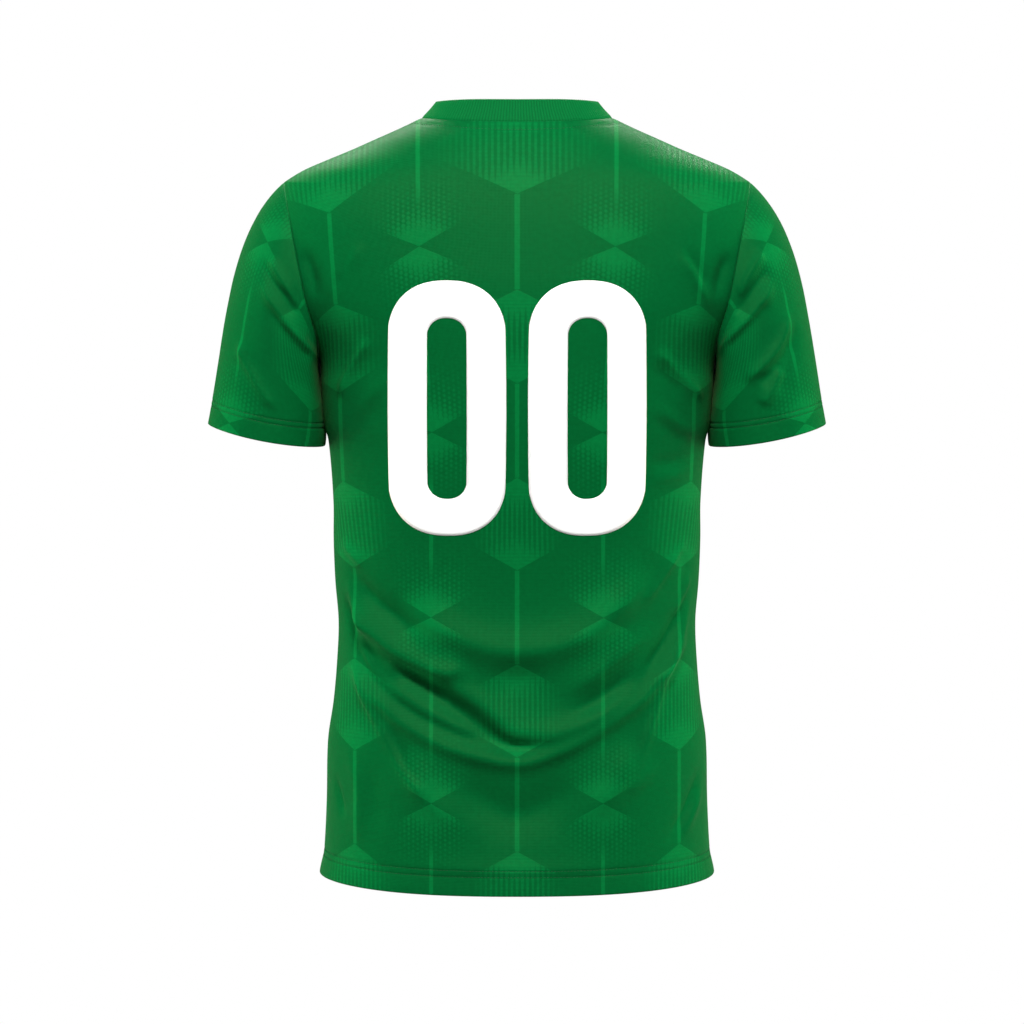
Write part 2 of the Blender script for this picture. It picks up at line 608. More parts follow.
# How far from a seam, and from a hem or cuff, the mesh has its closer rows.
seamSteps = np.array([0.0, 0.0007, 0.0014, 0.0022, 0.0034])
hemSteps = np.concatenate([
    [0, 0.0006, 0.0014, 0.003, 0.006, 0.009, 0.012, 0.0145],
    np.arange(0.0158, 0.0248, 0.00062)    # under the twin stitch lines
])


def panelLevels():
    hemZone = body["hemLevel"] + hemSteps
    plainCount = int((body["armpitLevel"] - hemZone[-1]) / body["cellHeight"])
    plain = np.linspace(hemZone[-1], body["armpitLevel"], plainCount + 1)[1:]
    middle = (body["armpitLevel"] + body["shoulderTipLevel"]) / 2
    half = (body["shoulderTipLevel"] - body["armpitLevel"]) / 2
    turn = np.linspace(0, math.pi, 2001)
    seam = np.stack([half * np.cos(turn), body["armholeHalfDepth"] * np.sin(turn)], axis=-1)
    length = runAlong(seam)
    even = np.interp(np.linspace(0, length[-1], body["armholeRows"] + 1), length, turn)
    armhole = middle - half * np.cos(even[1:])
    shoulder = np.linspace(body["shoulderTipLevel"], body["neckLevel"], body["shoulderRows"] + 1)[1:]
    nearNeck = body["neckLevel"] - np.array([0.0010, 0.0004])
    return np.concatenate([hemZone, plain, armhole, shoulder[:-1], nearNeck, shoulder[-1:]])


def panelAcross(columns):
    halfLength = 0.245
    nearEdge = 1 - seamSteps / halfLength
    half = np.linspace(0, nearEdge[-1], columns // 2 + 1)[:-1]
    positive = np.concatenate([half, nearEdge[::-1]])
    return np.concatenate([positive[::-1], -positive[1:]])


def printOnPanel(points, plainLevels):
    # the print's own plane: across the cloth from the mid-plane, and up it
    s = printLayout
    pitch = s["columnPitch"]
    middle = points.shape[1] // 2
    run = alongGrid(points, 1)
    run = run - run[:, middle:middle + 1]
    near = np.interp(plainLevels, printFit["level"], printFit["near"])
    far = np.interp(plainLevels, printFit["level"], printFit["far"])
    drop = np.interp(plainLevels, printFit["level"], printFit["drop"])
    across = np.empty(points.shape[:2])
    level = np.empty(points.shape[:2])
    for i, row in enumerate(points):
        half = np.abs(row[middle:, 0])
        halfRun = np.abs(run[i, middle:])
        beyond = halfRun[-1] - half[-1]
        runNear = np.interp(near[i], half, halfRun) if near[i] < half[-1] else near[i] + beyond
        runFar = np.interp(far[i], half, halfRun) if far[i] < half[-1] else far[i] + beyond
        bend = (2 * pitch / runFar - pitch / runNear) / (runFar - runNear)
        scale = pitch / runNear - bend * runNear
        away = np.abs(run[i])
        alongCloth = scale * away + bend * away ** 2
        flatBend = (2 * pitch / far[i] - pitch / near[i]) / (far[i] - near[i])
        out = np.abs(row[:, 0])
        seenFlat = (pitch / near[i] - flatBend * near[i]) * out + flatBend * out ** 2
        nearTop = smoothStep(s["yokeStart"], s["yokeFull"], plainLevels[i])
        across[i] = np.sign(row[:, 0]) * (alongCloth + (seenFlat - alongCloth) * nearTop)
        level[i] = row[:, 2] + drop[i] * (away / runFar) ** 2
    return np.stack([across, level], axis=-1)


def straightLines(printed, plain, points, normals):
    # the upright lines of the print run straight through the folds, as seen from behind
    facing = smoothStep(printLayout["facingStart"], printLayout["facingFull"], np.abs(normals[..., 1]))
    for i, row in enumerate(plain):
        order = np.argsort(row[:, 0])
        seen = np.interp(points[i, :, 0], row[order, 0], printed[i, order, 0])
        printed[i, :, 0] += facing[i] * (seen - printed[i, :, 0])
    return printed


def panelForm(side, columns):
    levels = panelLevels()
    across = side * panelAcross(columns)
    plain = panelPoints(side, across, levels)
    normals = gridNormals(plain)
    nearArmhole = smoothStep(1, body["foldFadeAcross"], np.abs(across))[None, :]
    fade = np.where((levels > body["armpitLevel"] - body["foldFadeBelow"])[:, None], nearArmhole, 1)
    fade = fade * smoothStep(body["neckLevel"], body["neckLevel"] - body["foldFadeNeck"], levels)[:, None]
    height = np.zeros(plain.shape[:2])
    for fold in backFolds if side > 0 else frontFolds:
        line = smoothLine(fold["line"])
        height += body["foldStrength"] * foldRelief(plain, onBody(side, line[:, 0], line[:, 1]), fold)
    height *= fade
    height += body["hemFlare"] * smoothStep(body["hemFlareStart"], body["hemLevel"], levels)[:, None]
    fromEdge = alongGrid(plain, 1)
    fromEdge = np.minimum(fromEdge, fromEdge[:, -1:] - fromEdge)
    fromHem = alongGrid(plain, 0)
    fromNeck = fromHem[-1:] - fromHem
    loose = looseness(plain, cloth["backSeed" if side > 0 else "frontSeed"], fromEdge, fromNeck)
    height += loose + seamDip(fromEdge) + seamDip(fromNeck) + grooves(fromHem, hem["stitchLines"])
    neckLine = collarSeam["backStitchDrop" if side > 0 else "frontStitchDrop"]
    height += collarSeam["grooveStrength"] * grooves(fromNeck, [neckLine])
    points = plain + height[..., None] * normals
    points[..., 1] += side * cloth["seamGap"]
    printed = straightLines(printOnPanel(plain, levels), plain, points, normals)
    inner, drops = turnedUp(points, hem["turnUp"], hem["foldRadius"])
    innerPrint = np.repeat(printed[:1], len(drops), axis=0)
    innerPrint[..., 1] += drops[:, None]
    return {
        "points": np.concatenate([inner, points]),
        "printed": np.concatenate([innerPrint, printed]),
        "outer": points,
        "normals": gridNormals(points),
    }


def armholePoint(wearersSide, around):
    # around is in radians, from the shoulder tip by way of the back
    middle = (body["armpitLevel"] + body["shoulderTipLevel"]) / 2
    half = (body["shoulderTipLevel"] - body["armpitLevel"]) / 2
    level = middle + half * np.cos(around)
    lowFullness = 1 - body["armholeLowFullness"] * np.cos(around)
    depth = (body["armholeHalfDepth"] * lowFullness + cloth["seamGap"]) * np.sin(around)
    return np.stack([wearersSide * armholeAcross(level), depth, level], axis=-1)


leaveOut = curveThrough(sleeveStart, "around", "out")
leaveBack = curveThrough(sleeveStart, "around", "toBack")
leaveDown = curveThrough(sleeveStart, "around", "down")
leaveReach = curveThrough(sleeveStart, "around", "reach")
arriveReach = curveThrough(sleeveStart, "around", "endReach")


def sleevePoint(wearersSide, along, around):
    degrees = np.degrees(around) % 360
    leave = np.stack([wearersSide * leaveOut(degrees), leaveBack(degrees), -leaveDown(degrees)], axis=-1)
    leave /= np.linalg.norm(leave, axis=-1, keepdims=True)
    start = armholePoint(wearersSide, around) + sleeve["gap"] * leave
    breadth = sleeve["cuffHalfBreadth"] * np.cos(around)
    tilt = sleeve["cuffTilt"]
    end = np.stack([
        wearersSide * (sleeve["cuffAcross"] + breadth * math.cos(tilt)),
        sleeve["cuffHalfDepth"] * np.sin(around),
        sleeve["cuffLevel"] + breadth * math.sin(tilt) - sleeve["cuffSag"] * np.sin(around) ** 2
    ], axis=-1)
    arrive = np.array([wearersSide * math.sin(tilt), 0, -math.cos(tilt)])
    t = np.asarray(along, float)[..., None]
    u = 1 - t
    reach = leaveReach(degrees)[..., None]
    endReach = arriveReach(degrees)[..., None]
    ends = start * (1 + 2 * t) * u * u + end * (1 + 2 * u) * t * t
    return ends + leave * reach * t * u * u - arrive * endReach * u * t * t


def sleeveForm(wearersSide):
    # the sleeve is cut in one piece and closed by a seam along the underarm
    nearSeam = math.pi - seamSteps / sleeve["armRadius"]
    half = np.concatenate([np.linspace(0, nearSeam[-1], sleeve["columns"] // 2 + 1)[:-1], nearSeam[::-1]])
    around = np.concatenate([-half[::-1], half[1:]])
    fine = np.linspace(0, 1, sleeve["trackSteps"])
    run = alongGrid(sleevePoint(wearersSide, *np.meshgrid(fine, around, indexing="ij")), 0)
    along = np.empty((len(seamSteps) + sleeve["middleRows"] - 1 + len(hemSteps), len(around)))
    for j in range(len(around)):
        length = run[-1, j]
        middle = np.linspace(seamSteps[-1], length - hemSteps[-1], sleeve["middleRows"] + 1)[1:-1]
        places = np.concatenate([seamSteps, middle, length - hemSteps[::-1]])
        along[:, j] = np.interp(places, run[:, j], fine)
    plain = sleevePoint(wearersSide, along, np.ones_like(along) * around[None, :])
    if wearersSide > 0:
        plain = plain[:, ::-1]
        around = around[::-1]
        along = along[:, ::-1]
    normals = gridNormals(plain)
    height = np.zeros(plain.shape[:2])
    for fold in leftSleeveFolds if wearersSide > 0 else rightSleeveFolds:
        half = plain[plain[..., 1] * fold["half"] > sleeve["halfStart"]]
        path = []
        for across, level in smoothLine(fold["line"]):
            gap = (half[:, 0] - across) ** 2 + (half[:, 2] - level) ** 2
            weight = 1 / (gap + 2e-6) ** 2
            path.append((across, (half[:, 1] * weight).sum() / weight.sum(), level))
        strength = sleeve["foldStrength"] if fold["rise"] > 0 else 1
        height += strength * foldRelief(plain, np.array(path), dict(fold, ends=sleeve["foldEnds"]))
    height *= smoothStep(*sleeve["foldStart"], along)
    fromArmhole = alongGrid(plain, 0)
    fromCuff = fromArmhole[-1:] - fromArmhole
    fromSeam = alongGrid(plain, 1)
    fromSeam = np.minimum(fromSeam, fromSeam[:, -1:] - fromSeam)
    loose = looseness(plain, cloth["sleeveSeed"] + wearersSide, fromArmhole, fromSeam)
    height += loose + seamDip(fromArmhole) + seamDip(fromSeam) + grooves(fromCuff, sleeve["stitchLines"])
    points = plain + height[..., None] * normals
    turned = around - sleeve["printTurn"]
    middle = np.argmin(np.abs(turned))
    sideways = alongGrid(plain, 1)
    sideways = (sideways - sideways[:, middle:middle + 1]) * np.sign(around[-1])
    lean = sleeve["printLean"] * (1 - np.cos(turned))
    printedLevel = sleeve["printLevel"] + lean[None, :] + fromCuff
    printed = np.stack([printLayout["columnPitch"] + sideways, printedLevel], axis=-1)
    flipped = points[::-1]
    inner, drops = turnedUp(flipped[:, ::-1], sleeve["turnUp"], hem["foldRadius"])
    inner = inner[:, ::-1][::-1]
    innerPrint = np.repeat(printed[-1:], len(drops), axis=0)
    innerPrint[..., 1] += drops[::-1][:, None]
    return {
        "points": np.concatenate([points, inner]),
        "printed": np.concatenate([printed, innerPrint]),
        "outer": points,
        "normals": gridNormals(points),
    }


def gridCorners(points, closed=False):
    rows, columns = points.shape[:2]
    index = np.arange(rows * columns).reshape(rows, columns)
    if closed:
        index = np.concatenate([index, index[:, :1]], axis=1)
    return np.stack([index[:-1, :-1], index[:-1, 1:], index[1:, 1:], index[1:, :-1]], axis=-1).reshape(-1, 4)


def placeMesh(name, mesh):
    piece = bpy.data.objects.new(name, mesh)
    bpy.context.scene.collection.objects.link(piece)
    return piece


def gridMesh(name, points, printed=None, closed=False):
    corners = gridCorners(points, closed)
    mesh = bpy.data.meshes.new(name)
    mesh.vertices.add(points.size // 3)
    mesh.vertices.foreach_set("co", points.reshape(-1))
    mesh.loops.add(corners.size)
    mesh.loops.foreach_set("vertex_index", corners.reshape(-1))
    mesh.polygons.add(len(corners))
    mesh.polygons.foreach_set("loop_start", np.arange(len(corners)) * 4)
    mesh.update(calc_edges=True)
    mesh.polygons.foreach_set("use_smooth", np.ones(len(corners), dtype=bool))
    if printed is not None:
        layer = mesh.uv_layers.new(name="print")
        layer.data.foreach_set("uv", printed.reshape(-1, 2)[corners.reshape(-1)].reshape(-1))
    mesh.validate()
    return placeMesh(name, mesh)


def thicken(piece, thickness, face, inside):
    piece.data.materials.append(face)
    piece.data.materials.append(inside)
    modifier = piece.modifiers.new("cloth thickness", "SOLIDIFY")
    modifier.thickness = thickness
    modifier.offset = -1
    modifier.material_offset = 1
    modifier.material_offset_rim = 1
    return piece


# Materials

def linear(red, green, blue):
    # a colour given as on screen, 0 to 255
    values = [c / 255 for c in (red, green, blue)]
    return tuple([c / 12.92 if c <= 0.04045 else ((c + 0.055) / 1.055) ** 2.4 for c in values] + [1.0])


def newGroup(name, inputs, outputs):
    group = bpy.data.node_groups.new(name, "ShaderNodeTree")
    for label, kind, value in inputs:
        socket = group.interface.new_socket(name=label, in_out="INPUT", socket_type=kind)
        if value is not None:
            socket.default_value = value
    for label, kind in outputs:
        group.interface.new_socket(name=label, in_out="OUTPUT", socket_type=kind)
    return group, group.nodes.new("NodeGroupInput").outputs, group.nodes.new("NodeGroupOutput").inputs


def calc(tree, operation, *values, clamp=False):
    node = tree.nodes.new("ShaderNodeMath")
    node.operation = operation
    node.use_clamp = clamp
    for socket, value in zip(node.inputs, values):
        if isinstance(value, (int, float)):
            socket.default_value = value
        else:
            tree.links.new(value, socket)
    return node.outputs[0]


def ramp(tree, value, start, end):
    # 0 at start, 1 at end, smooth between
    node = tree.nodes.new("ShaderNodeMapRange")
    node.interpolation_type = "SMOOTHSTEP"
    for label, given in (("Value", value), ("From Min", start), ("From Max", end)):
        if isinstance(given, (int, float)):
            node.inputs[label].default_value = given
        else:
            tree.links.new(given, node.inputs[label])
    return node.outputs[0]


def wave(tree, value, pitch):
    # 1 on each multiple of the pitch, 0 half way between
    turned = calc(tree, "COSINE", calc(tree, "MULTIPLY", value, 2 * math.pi / pitch))
    return calc(tree, "MULTIPLY_ADD", turned, 0.5, 0.5)


hexPrint = {                  # in millimetres on the cloth
    "columnPitch": 1000 * printLayout["columnPitch"],
    "rowPitch": 176.3,
    "cellCentre": -377.0,
    "cellHalfWidth": 41.0,
    "cellHalfHeight": 44.0,
    "edgeSlope": 0.534,
    "edgeSoftness": 0.8,
    "ribPitch": 5.0,
    "beadPitch": 3.6,         # the ribs are rows of small beads
    "tipSolid": (42, 4),      # from the tips of a cell, where the ribs join
    "cellFadeStart": 20,
    "yokeCellStart": -90,     # the topmost cell grows wider between these levels
    "yokeCellFull": -30,
    "yokeCellExtra": 25.0,    # by this much on each side
    "dotPitch": 4.5,
    "dotRowPitch": 4.6,
    "nodeSolid": (46, 2),     # from a node, where the dots join
    "fanFadeUp": (80, 14),
    "fanFadeSide": (46, 16),
    "cellLine": 4.4,
    "fanLine": 3.7,
    "fanLineStart": (30, 60),
    "lineSoftness": 0.3,
}


def uprightLine(tree, away, width):
    soft = hexPrint["lineSoftness"]
    return ramp(tree, away, width / 2 + soft, width / 2 - soft)


def hexPrintGroup():
    s = hexPrint
    group, given, result = newGroup(
        "hex print", [("Print", "NodeSocketVector", None)],
        [("Lift", "NodeSocketFloat"), ("Line", "NodeSocketFloat")])
    maths = partial(calc, group)
    soft = partial(ramp, group)
    ripple = partial(wave, group)
    split = group.nodes.new("ShaderNodeSeparateXYZ")
    group.links.new(given["Print"], split.inputs[0])
    across = maths("MULTIPLY", split.outputs["X"], 1000)
    level = maths("MULTIPLY", split.outputs["Y"], 1000)
    column = maths("ROUND", maths("DIVIDE", across, s["columnPitch"]))
    offset = maths("SUBTRACT", across, maths("MULTIPLY", column, s["columnPitch"]))
    away = maths("ABSOLUTE", offset)
    isFan = maths("MODULO", maths("ABSOLUTE", column), 2)
    isCell = maths("SUBTRACT", 1, isFan)
    half = s["rowPitch"] / 2
    fromCentre = maths("SUBTRACT", level, s["cellCentre"])
    fromCell = maths("ABSOLUTE", maths("WRAP", fromCentre, half, -half))
    fromNode = maths("SUBTRACT", half, fromCell)

    # hexagonal cells: solid at both tips, ribs between them
    toTip = maths("SUBTRACT", s["cellHalfHeight"], fromCell)
    onYoke = soft(level, s["yokeCellStart"], s["yokeCellFull"])
    widest = maths("MULTIPLY_ADD", onYoke, s["yokeCellExtra"], s["cellHalfWidth"])
    width = maths("MINIMUM", maths("DIVIDE", toTip, s["edgeSlope"]), widest)
    toNext = maths("MULTIPLY_ADD", away, -2, s["columnPitch"])
    reach = maths("MULTIPLY_ADD", isFan, toNext, away)    # from the nearest cell's own centre line
    inCell = soft(maths("SUBTRACT", width, reach), 0, s["edgeSoftness"])
    solid = soft(maths("MULTIPLY_ADD", reach, 0.5, toTip), *s["tipSolid"])
    bar = maths("MULTIPLY_ADD", solid, 1.1, ripple(reach, s["ribPitch"]))
    beads = maths("MULTIPLY_ADD", ripple(level, s["beadPitch"]), 0.34, 0.76)
    ribs = maths("MULTIPLY_ADD", maths("MULTIPLY", soft(bar, 0.30, 0.90), beads), 0.76, 0.06)
    ribs = maths("MULTIPLY_ADD", solid, 0.22, ribs)
    beyondEdge = maths("ADD", widest, 3)
    fadeOut = maths("MULTIPLY_ADD", soft(reach, s["cellFadeStart"], beyondEdge), -0.80, 1)
    cellLift = maths("MULTIPLY", maths("MULTIPLY", ribs, fadeOut), inCell)

    # fans above and below each node: dots that shrink away from it
    fanWidth = maths("DIVIDE", fromNode, s["edgeSlope"])
    inFan = soft(maths("SUBTRACT", fanWidth, away), 0, s["edgeSoftness"])
    inFan = maths("MULTIPLY", inFan, isFan)
    nearNode = soft(maths("MULTIPLY_ADD", away, 0.6, fromNode), *s["nodeSolid"])
    stagger = maths("COSINE", maths("MULTIPLY", offset, math.pi / s["dotPitch"]))
    dash = maths("COSINE", maths("MULTIPLY", fromNode, 2 * math.pi / s["dotRowPitch"]))
    dots = maths("MULTIPLY_ADD", maths("MULTIPLY", stagger, dash), 0.30, 0.16)
    dotBars = maths("MULTIPLY_ADD", ripple(offset, s["dotPitch"]), 0.54, dots)
    dotted = soft(maths("MULTIPLY_ADD", nearNode, 0.8, dotBars), 0.30, 0.95)
    dotted = maths("MULTIPLY_ADD", dotted, 0.88, maths("MULTIPLY_ADD", nearNode, 0.18, 0.02))
    fadeUp = maths("POWER", soft(fromNode, *s["fanFadeUp"]), 0.9)
    fanFade = maths("MULTIPLY", fadeUp, soft(away, *s["fanFadeSide"]))
    fanLift = maths("MULTIPLY", maths("MULTIPLY", dotted, fanFade), inFan)
    group.links.new(maths("ADD", cellLift, fanLift, clamp=True), result["Lift"])

    # the thin upright lines that join the cells, and the fans
    between = soft(toTip, 0.4, -0.4)
    cellLine = maths("MULTIPLY", uprightLine(group, away, s["cellLine"]), between)
    fanLine = maths("MULTIPLY", uprightLine(group, away, s["fanLine"]), soft(fromNode, *s["fanLineStart"]))
    lines = maths("ADD", maths("MULTIPLY", cellLine, isCell), maths("MULTIPLY", fanLine, isFan))
    group.links.new(lines, result["Line"])
    return group


def knitGroup():
    group, given, result = newGroup(
        "fine knit", [("Print", "NodeSocketVector", None), ("Pitch", "NodeSocketFloat", 1.0)],
        [("Height", "NodeSocketFloat"), ("Tone", "NodeSocketFloat")])
    split = group.nodes.new("ShaderNodeSeparateXYZ")
    group.links.new(given["Print"], split.inputs[0])
    maths = partial(calc, group)
    across = maths("DIVIDE", maths("MULTIPLY", split.outputs["X"], 1000), given["Pitch"])
    level = maths("DIVIDE", maths("MULTIPLY", split.outputs["Y"], 1000), given["Pitch"])
    leg = maths("ABSOLUTE", maths("SINE", maths("MULTIPLY", across, math.pi)))
    climb = maths("MULTIPLY_ADD", leg, 0.35, level)
    loop = maths("SINE", maths("MULTIPLY", climb, 2 * math.pi * 0.8))
    group.links.new(maths("MULTIPLY_ADD", loop, 0.3, leg), result["Height"])
    mottle = group.nodes.new("ShaderNodeTexNoise")
    mottle.inputs["Scale"].default_value = 240
    mottle.inputs["Detail"].default_value = 3
    group.links.new(given["Print"], mottle.inputs["Vector"])
    group.links.new(mottle.outputs[0], result["Tone"])
    return group


jerseyFinish = {
    "ground": linear(0, 91, 43),
    "print": linear(2, 114, 55),
    "inside": linear(84, 150, 106),
    "roughness": 0.48,
    "sheen": 0.015,
    "sheenRoughness": 0.40,
    "sheenTint": (1.0, 0.82, 0.42, 1.0),
    "specular": 0.034,
    "specularTint": (1.0, 0.80, 0.42, 1.0),
    "printStrength": 0.85,
    "lineStrength": 0.9,
    "printSmoothing": 0.05,   # printed places are this much less rough
    "printHeight": 0.7,
    "mottle": 0.10,
    "knitPitch": 1.1,         # millimetres
    "knitDepth": 0.00012,
    "insideRoughness": 0.75,
}

collarFinish = {
    "ground": linear(3, 106, 51),
    "rib": linear(0, 84, 40),
    "ribShade": 0.7,
    "knitPitch": 700,
    "knitDepth": 0.0002,
    "roughness": 0.6,
}
digitFinish = {"white": (0.97, 0.98, 1.0, 1.0), "roughness": 0.42, "grain": 900, "grainDepth": 0.00004}
threadFinish = {"green": linear(0, 70, 33), "roughness": 0.6, "fuzz": 2500}

hexPrintNodes = hexPrintGroup()
knitNodes = knitGroup()


def newMaterial(name):
    material = bpy.data.materials.new(name)
    material.use_nodes = True
    tree = material.node_tree
    return material, tree, tree.nodes["Principled BSDF"]


def placeGroup(tree, group, vector):
    node = tree.nodes.new("ShaderNodeGroup")
    node.node_tree = group
    tree.links.new(vector, node.inputs["Print"])
    return node


def mixColours(tree, factor, first, second, blend="MIX"):
    node = tree.nodes.new("ShaderNodeMix")
    node.data_type = "RGBA"
    node.blend_type = blend
    sockets = (node.inputs["Factor"], node.inputs[6], node.inputs[7])
    for socket, value in zip(sockets, (factor, first, second)):
        if isinstance(value, (int, float, tuple)):
            socket.default_value = value
        else:
            tree.links.new(value, socket)
    return node.outputs[2]


def darker(colour, share):
    return tuple(share * c for c in colour[:3]) + (1.0,)


def fineNoise(tree, scale):
    # even speckle fixed to the piece itself
    place = tree.nodes.new("ShaderNodeTexCoord")
    speckle = tree.nodes.new("ShaderNodeTexNoise")
    speckle.inputs["Scale"].default_value = scale
    tree.links.new(place.outputs["Object"], speckle.inputs["Vector"])
    return speckle.outputs[0]


def printVector(tree):
    node = tree.nodes.new("ShaderNodeUVMap")
    node.uv_map = "print"
    return node.outputs[0]


def bumpFrom(tree, height, distance):
    bump = tree.nodes.new("ShaderNodeBump")
    bump.inputs["Strength"].default_value = 1.0
    bump.inputs["Distance"].default_value = distance
    tree.links.new(height, bump.inputs["Height"])
    return bump.outputs[0]


def clothSheen(shader):
    s = jerseyFinish
    shader.inputs["Sheen Weight"].default_value = s["sheen"]
    shader.inputs["Sheen Roughness"].default_value = s["sheenRoughness"]
    shader.inputs["Sheen Tint"].default_value = s["sheenTint"]
    shader.inputs["Specular IOR Level"].default_value = s["specular"]
    shader.inputs["Specular Tint"].default_value = s["specularTint"]


def jerseyMaterial():
    s = jerseyFinish
    material, tree, shader = newMaterial("jersey cloth")
    vector = printVector(tree)
    hexes = placeGroup(tree, hexPrintNodes, vector)
    knit = placeGroup(tree, knitNodes, vector)
    knit.inputs["Pitch"].default_value = s["knitPitch"]
    lift = calc(tree, "MULTIPLY", hexes.outputs["Lift"], s["printStrength"])
    colour = mixColours(tree, lift, s["ground"], s["print"])
    line = calc(tree, "MULTIPLY", hexes.outputs["Line"], s["lineStrength"])
    colour = mixColours(tree, line, colour, s["print"])
    tone = ramp(tree, knit.outputs["Tone"], 0.30, 0.70)
    tone = calc(tree, "MULTIPLY_ADD", tone, s["mottle"], 1 - s["mottle"] / 2)
    shade = tree.nodes.new("ShaderNodeCombineColor")
    for channel in range(3):
        tree.links.new(tone, shade.inputs[channel])
    tree.links.new(mixColours(tree, 1.0, colour, shade.outputs[0], "MULTIPLY"), shader.inputs["Base Color"])
    rough = calc(tree, "MULTIPLY_ADD", hexes.outputs["Lift"], -s["printSmoothing"], s["roughness"])
    tree.links.new(rough, shader.inputs["Roughness"])
    height = calc(tree, "MULTIPLY_ADD", hexes.outputs["Lift"], s["printHeight"], knit.outputs["Height"])
    tree.links.new(bumpFrom(tree, height, s["knitDepth"]), shader.inputs["Normal"])
    clothSheen(shader)
    return material


def insideMaterial():
    # the print doesn't come through, so the wrong side is paler and plain
    s = jerseyFinish
    material, tree, shader = newMaterial("jersey inside")
    knit = placeGroup(tree, knitNodes, printVector(tree))
    knit.inputs["Pitch"].default_value = s["knitPitch"]
    tone = ramp(tree, knit.outputs["Tone"], 0.25, 0.75)
    colour = mixColours(tree, tone, darker(s["inside"], 0.86), s["inside"])
    tree.links.new(colour, shader.inputs["Base Color"])
    tree.links.new(bumpFrom(tree, knit.outputs["Height"], s["knitDepth"]), shader.inputs["Normal"])
    shader.inputs["Roughness"].default_value = s["insideRoughness"]
    clothSheen(shader)
    return material


def collarMaterial():
    s = collarFinish
    material, tree, shader = newMaterial("collar rib")
    vector = printVector(tree)
    split = tree.nodes.new("ShaderNodeSeparateXYZ")
    tree.links.new(vector, split.inputs[0])
    # one rib for each unit round the collar
    valley = calc(tree, "SUBTRACT", 1, wave(tree, split.outputs["X"], 1.0))
    knit = placeGroup(tree, knitNodes, vector)
    knit.inputs["Pitch"].default_value = s["knitPitch"]
    shade = calc(tree, "MULTIPLY", ramp(tree, valley, 0.35, 1.0), s["ribShade"])
    tree.links.new(mixColours(tree, shade, s["ground"], s["rib"]), shader.inputs["Base Color"])
    shader.inputs["Roughness"].default_value = s["roughness"]
    tree.links.new(bumpFrom(tree, knit.outputs["Tone"], s["knitDepth"]), shader.inputs["Normal"])
    clothSheen(shader)
    return material


def digitMaterial():
    s = digitFinish
    material, tree, shader = newMaterial("digit film")
    grain = fineNoise(tree, s["grain"])
    rough = calc(tree, "MULTIPLY_ADD", grain, 0.12, s["roughness"] - 0.06)
    tree.links.new(rough, shader.inputs["Roughness"])
    tree.links.new(bumpFrom(tree, grain, s["grainDepth"]), shader.inputs["Normal"])
    shader.inputs["Base Color"].default_value = s["white"]
    return material


def threadMaterial():
    s = threadFinish
    material, tree, shader = newMaterial("sewing thread")
    colour = mixColours(tree, fineNoise(tree, s["fuzz"]), darker(s["green"], 0.8), s["green"])
    tree.links.new(colour, shader.inputs["Base Color"])
    shader.inputs["Roughness"].default_value = s["roughness"]
    return material


jerseyFace = jerseyMaterial()
jerseyInside = insideMaterial()
collarRib = collarMaterial()
digitFilm = digitMaterial()
thread = threadMaterial()
print("jersey: materials ready")


# Pieces

